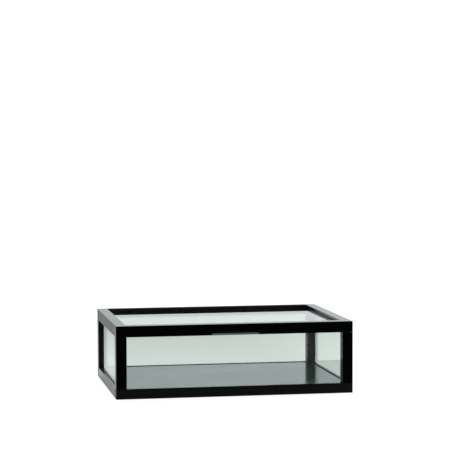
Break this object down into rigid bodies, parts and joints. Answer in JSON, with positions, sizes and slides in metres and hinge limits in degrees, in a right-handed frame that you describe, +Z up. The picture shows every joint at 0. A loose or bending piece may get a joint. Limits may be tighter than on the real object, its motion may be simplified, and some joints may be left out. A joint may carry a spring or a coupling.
{
  "type": "shadow box",
  "caption": "Low rectangular display case: stained timber frame, glass sides, and a hinged glazed lid lifted by a finger groove to put things in.",
  "frame": {"origin": "centre of the footprint, on the surface the case stands on", "axes": "+Z up, front with the finger groove towards -Y, +X to the right seen from the front"},
  "size_m": [0.495, 0.35, 0.15],
  "materials": {
    "stained_wood": "black stain under satin lacquer, fine open grain",
    "lacquered_panel": "smooth black lacquer, faint grain",
    "glass": "clear float glass, polished edges",
    "seal_rubber": "matt black glazing rubber",
    "dowel_wood": "raw beech",
    "hinge_metal": "nickel-plated, fine brushing"
  },
  "bodies": {
    "case": {"base_rail_front": "stained_wood", "base_rail_back": "stained_wood", "base_rail_left": "stained_wood", "base_rail_right": "stained_wood", "floor_panel": "lacquered_panel", "post_front_left": "stained_wood", "post_front_right": "stained_wood", "post_rear_left": "stained_wood", "post_rear_right": "stained_wood", "glass_front": "glass", "glass_back": "glass", "glass_left": "glass", "glass_right": "glass", "seal_front": "seal_rubber", "seal_back": "seal_rubber", "seal_left": "seal_rubber", "seal_right": "seal_rubber", "base_dowels": "dowel_wood", "post_dowels": "dowel_wood", "hinge_leaf_case_left": "hinge_metal", "hinge_leaf_case_right": "hinge_metal", "hinge_pin_left": "hinge_metal", "hinge_pin_right": "hinge_metal", "hinge_screws_case": "hinge_metal"},
    "lid": {"lid_rail_front": "stained_wood", "lid_rail_back": "stained_wood", "lid_rail_left": "stained_wood", "lid_rail_right": "stained_wood", "glass_lid": "glass", "seal_lid": "seal_rubber", "lid_dowels": "dowel_wood", "hinge_leaf_lid_left": "hinge_metal", "hinge_leaf_lid_right": "hinge_metal", "hinge_screws_lid": "hinge_metal"}
  },
  "joints": [
    {"name": "lid_hinge", "type": "hinge", "parent": "case", "child": "lid", "pos_m": [0, 0.172, 0.1268], "axis": [-1, 0, 0], "range_deg": [0, 100]}
  ]
}
